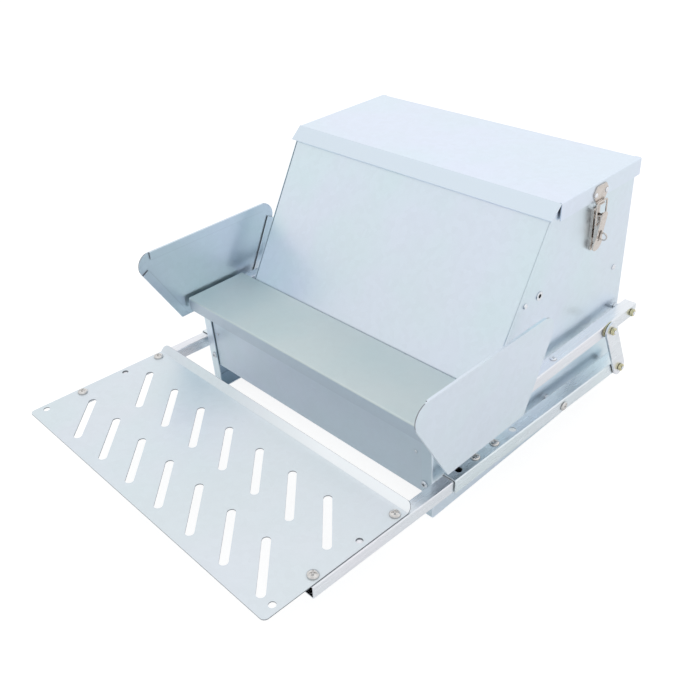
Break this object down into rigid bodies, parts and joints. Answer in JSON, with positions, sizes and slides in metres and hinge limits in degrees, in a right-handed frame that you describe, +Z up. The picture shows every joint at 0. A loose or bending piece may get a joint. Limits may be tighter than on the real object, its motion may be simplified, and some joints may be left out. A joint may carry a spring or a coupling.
{
  "type": "treadle chicken feeder",
  "caption": "Galvanised poultry feeder: a bird on the slotted treadle swings the arms and links, which lift the winged cover off the trough; latched lift-off lid on the hopper.",
  "frame": {"origin": "middle of the overall footprint, on the floor", "axes": "+X to the right seen from the treadle side, -Y towards the treadle, +Z up"},
  "size_m": [0.4596, 0.5961, 0.298],
  "materials": {
    "galvanised_sheet": "smooth galvanised sheet, pale blue-grey, satin",
    "treadle_zinc": "zinc plated sheet and tube with fine brushed grain",
    "bright_zinc": "bright zinc plate",
    "yellow_zinc": "pale yellow passivated zinc",
    "latch_nickel": "warm nickel plate, satin"
  },
  "bodies": {
    "housing": {"hopper_front": "galvanised_sheet", "rear_panel": "galvanised_sheet", "feed_chute": "galvanised_sheet", "trough_floor": "galvanised_sheet", "trough_front": "galvanised_sheet", "trough_screws": "bright_zinc", "side_panel_left": "galvanised_sheet", "side_panel_right": "galvanised_sheet", "side_rivets_left": "bright_zinc", "side_rivets_right": "bright_zinc", "upper_pivot_bolt_left": "bright_zinc", "upper_pivot_bolt_right": "bright_zinc", "upper_pivot_spacers_left": "bright_zinc", "upper_pivot_spacers_right": "bright_zinc", "upper_pivot_nut_left": "yellow_zinc", "upper_pivot_nut_right": "yellow_zinc", "lower_pivot_bolt_left": "bright_zinc", "lower_pivot_bolt_right": "bright_zinc", "lower_pivot_nuts_left": "bright_zinc", "lower_pivot_nuts_right": "bright_zinc", "latch_base_left": "latch_nickel", "latch_base_right": "latch_nickel", "latch_rivets_left": "bright_zinc", "latch_rivets_right": "bright_zinc"},
    "lid": {"lid_shell": "galvanised_sheet", "catch_plate_left": "latch_nickel", "catch_plate_right": "latch_nickel", "catch_rivets_left": "bright_zinc", "catch_rivets_right": "bright_zinc"},
    "treadle": {"treadle_plate": "treadle_zinc", "plate_screws": "bright_zinc", "arm_tube_left": "treadle_zinc", "arm_tube_right": "treadle_zinc", "arm_sleeve_left": "treadle_zinc", "arm_sleeve_right": "treadle_zinc", "arm_bolts_left": "bright_zinc", "arm_bolts_right": "bright_zinc", "push_bolt_left": "bright_zinc", "push_bolt_right": "bright_zinc", "push_nut_left": "yellow_zinc", "push_nut_right": "yellow_zinc", "push_washers": "yellow_zinc"},
    "cover": {"trough_cover": "galvanised_sheet", "lever_screws": "bright_zinc", "wing_left": "galvanised_sheet", "wing_right": "galvanised_sheet", "lever_left": "treadle_zinc", "lever_right": "treadle_zinc", "lift_bolt_left": "bright_zinc", "lift_bolt_right": "bright_zinc", "lift_nut_left": "yellow_zinc", "lift_nut_right": "yellow_zinc", "lift_washers": "yellow_zinc"},
    "link_left": {"link_left": "treadle_zinc"},
    "link_right": {"link_right": "treadle_zinc"},
    "handle_left": {"latch_handle_left": "latch_nickel"},
    "handle_right": {"latch_handle_right": "latch_nickel"},
    "bail_left": {"latch_bail_left": "latch_nickel"},
    "bail_right": {"latch_bail_right": "latch_nickel"}
  },
  "joints": [
    {"name": "treadle_pivot", "type": "hinge", "parent": "housing", "child": "treadle", "pos_m": [0, 0.14907, 0.04534], "axis": [1, 0, 0], "range_deg": [0, 7.5]},
    {"name": "cover_pivot", "type": "hinge", "parent": "housing", "child": "cover", "pos_m": [0, 0.2865, 0.1087], "axis": [-1, 0, 0], "range_deg": [0, 19]},
    {"name": "link_pivot_left", "type": "hinge", "parent": "treadle", "child": "link_left", "pos_m": [-0.22365, 0.26705, 0.04008], "axis": [1, 0, 0], "range_deg": [-9.7, 0]},
    {"name": "link_pivot_right", "type": "hinge", "parent": "treadle", "child": "link_right", "pos_m": [0.22365, 0.26705, 0.04008], "axis": [1, 0, 0], "range_deg": [-9.7, 0]},
    {"name": "lid_lift", "type": "slide", "parent": "housing", "child": "lid", "axis": [0, 0, 1], "range_m": [0, 0.04]},
    {"name": "latch_left_handle", "type": "hinge", "parent": "housing", "child": "handle_left", "pos_m": [-0.2037, 0.216, 0.257], "axis": [0, 1, 0], "range_deg": [0, 50]},
    {"name": "latch_left_bail", "type": "hinge", "parent": "handle_left", "child": "bail_left", "pos_m": [-0.2036, 0.216, 0.25], "axis": [0, 1, 0], "range_deg": [-150, 0]},
    {"name": "latch_right_handle", "type": "hinge", "parent": "housing", "child": "handle_right", "pos_m": [0.2037, 0.216, 0.257], "axis": [0, -1, 0], "range_deg": [0, 50]},
    {"name": "latch_right_bail", "type": "hinge", "parent": "handle_right", "child": "bail_right", "pos_m": [0.2036, 0.216, 0.25], "axis": [0, -1, 0], "range_deg": [-150, 0]}
  ],
  "couplings": [
    {"joint": "cover_pivot", "follows": "treadle_pivot", "ratio": 2.525},
    {"joint": "link_pivot_left", "follows": "treadle_pivot", "ratio": -1.28},
    {"joint": "link_pivot_right", "follows": "treadle_pivot", "ratio": -1.28},
    {"joint": "latch_left_handle", "follows": "lid_lift", "rad_per_m": 21.81},
    {"joint": "latch_left_bail", "follows": "lid_lift", "rad_per_m": -65.44},
    {"joint": "latch_right_handle", "follows": "lid_lift", "rad_per_m": 21.81},
    {"joint": "latch_right_bail", "follows": "lid_lift", "rad_per_m": -65.44}
  ]
}
